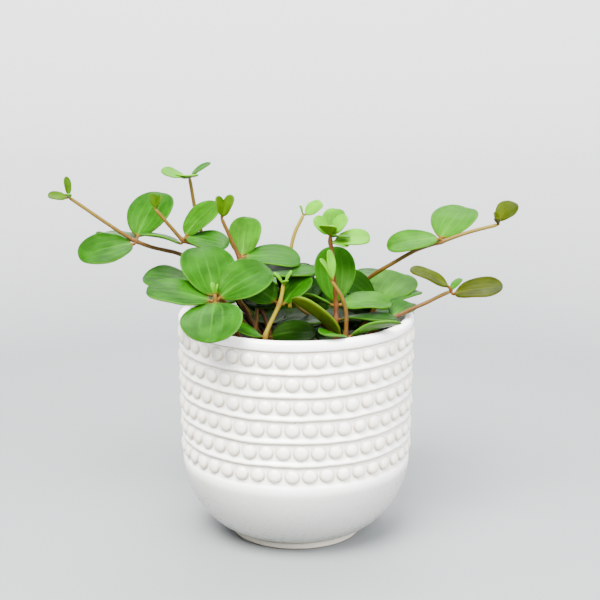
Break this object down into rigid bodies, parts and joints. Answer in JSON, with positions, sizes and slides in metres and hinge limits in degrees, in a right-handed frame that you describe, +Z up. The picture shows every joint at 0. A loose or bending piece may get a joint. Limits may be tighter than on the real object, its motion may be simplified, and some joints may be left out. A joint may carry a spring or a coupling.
{
  "type": "potted peperomia",
  "caption": "Trailing peperomia with round fleshy leaves on thin brown stems, in a cream glazed cover pot with rows of raised beads.",
  "frame": {"origin": "centre of the underside of the pot's foot, on the surface it stands on", "axes": "+Z up along the pot's axis, +X to the plant's right as seen from the front, -Y towards the front"},
  "size_m": [0.2299, 0.1418, 0.186],
  "materials": {
    "cream_glaze": "satin",
    "black_plastic": "matte",
    "potting_soil": "matte",
    "stem_skin": "satin",
    "leaf_skin": "satin",
    "young_leaf_skin": "satin",
    "olive_leaf_skin": "satin"
  },
  "bodies": {
    "root": {"cover_pot": "cream_glaze", "nursery_pot": "black_plastic", "potting_soil": "potting_soil", "stem_left_long": "stem_skin", "leaf_left_long_a": "leaf_skin", "leaf_left_long_b": "leaf_skin", "leaf_left_long_c": "leaf_skin", "leaf_left_long_d": "leaf_skin", "stem_left_mid": "stem_skin", "leaf_left_mid_a": "leaf_skin", "leaf_left_mid_b": "leaf_skin", "leaf_left_mid_c": "leaf_skin", "stem_left_back": "stem_skin", "leaf_left_back_a": "young_leaf_skin", "stem_left_upright": "stem_skin", "leaf_left_upright_a": "young_leaf_skin", "leaf_left_upright_b": "leaf_skin", "stem_front_left": "stem_skin", "leaf_front_left_a": "leaf_skin", "leaf_front_left_b": "leaf_skin", "leaf_front_left_c": "leaf_skin", "leaf_front_left_d": "leaf_skin", "stem_centre_low": "stem_skin", "leaf_centre_low_a": "leaf_skin", "leaf_centre_low_b": "leaf_skin", "stem_front_bud": "stem_skin", "leaf_front_bud_a": "leaf_skin", "leaf_front_bud_b": "leaf_skin", "leaf_front_bud_c": "leaf_skin", "leaf_front_bud_d": "leaf_skin", "stem_centre_leaning": "stem_skin", "stem_back_bud": "stem_skin", "leaf_back_bud_a": "leaf_skin", "stem_front_arching": "stem_skin", "leaf_front_arching_a": "leaf_skin", "leaf_front_arching_b": "leaf_skin", "leaf_front_arching_c": "leaf_skin", "stem_front_upright": "stem_skin", "leaf_front_upright_a": "leaf_skin", "leaf_front_upright_b": "leaf_skin", "leaf_front_upright_c": "leaf_skin", "leaf_front_upright_d": "leaf_skin", "leaf_front_upright_e": "leaf_skin", "leaf_front_upright_f": "young_leaf_skin", "leaf_front_upright_g": "young_leaf_skin", "stem_right_long": "stem_skin", "leaf_right_long_a": "leaf_skin", "leaf_right_long_b": "leaf_skin", "leaf_right_long_c": "olive_leaf_skin", "stem_right_low": "stem_skin", "leaf_right_low_a": "olive_leaf_skin", "leaf_right_low_b": "olive_leaf_skin", "leaf_right_low_c": "leaf_skin", "stem_right_inner": "stem_skin", "leaf_right_inner_a": "leaf_skin", "leaf_right_inner_b": "leaf_skin", "stem_trailing_back_left": "stem_skin", "leaf_trailing_back_left_a": "leaf_skin", "stem_trailing_back_right": "stem_skin", "leaf_trailing_back_right_a": "leaf_skin"}
  },
  "joints": []
}
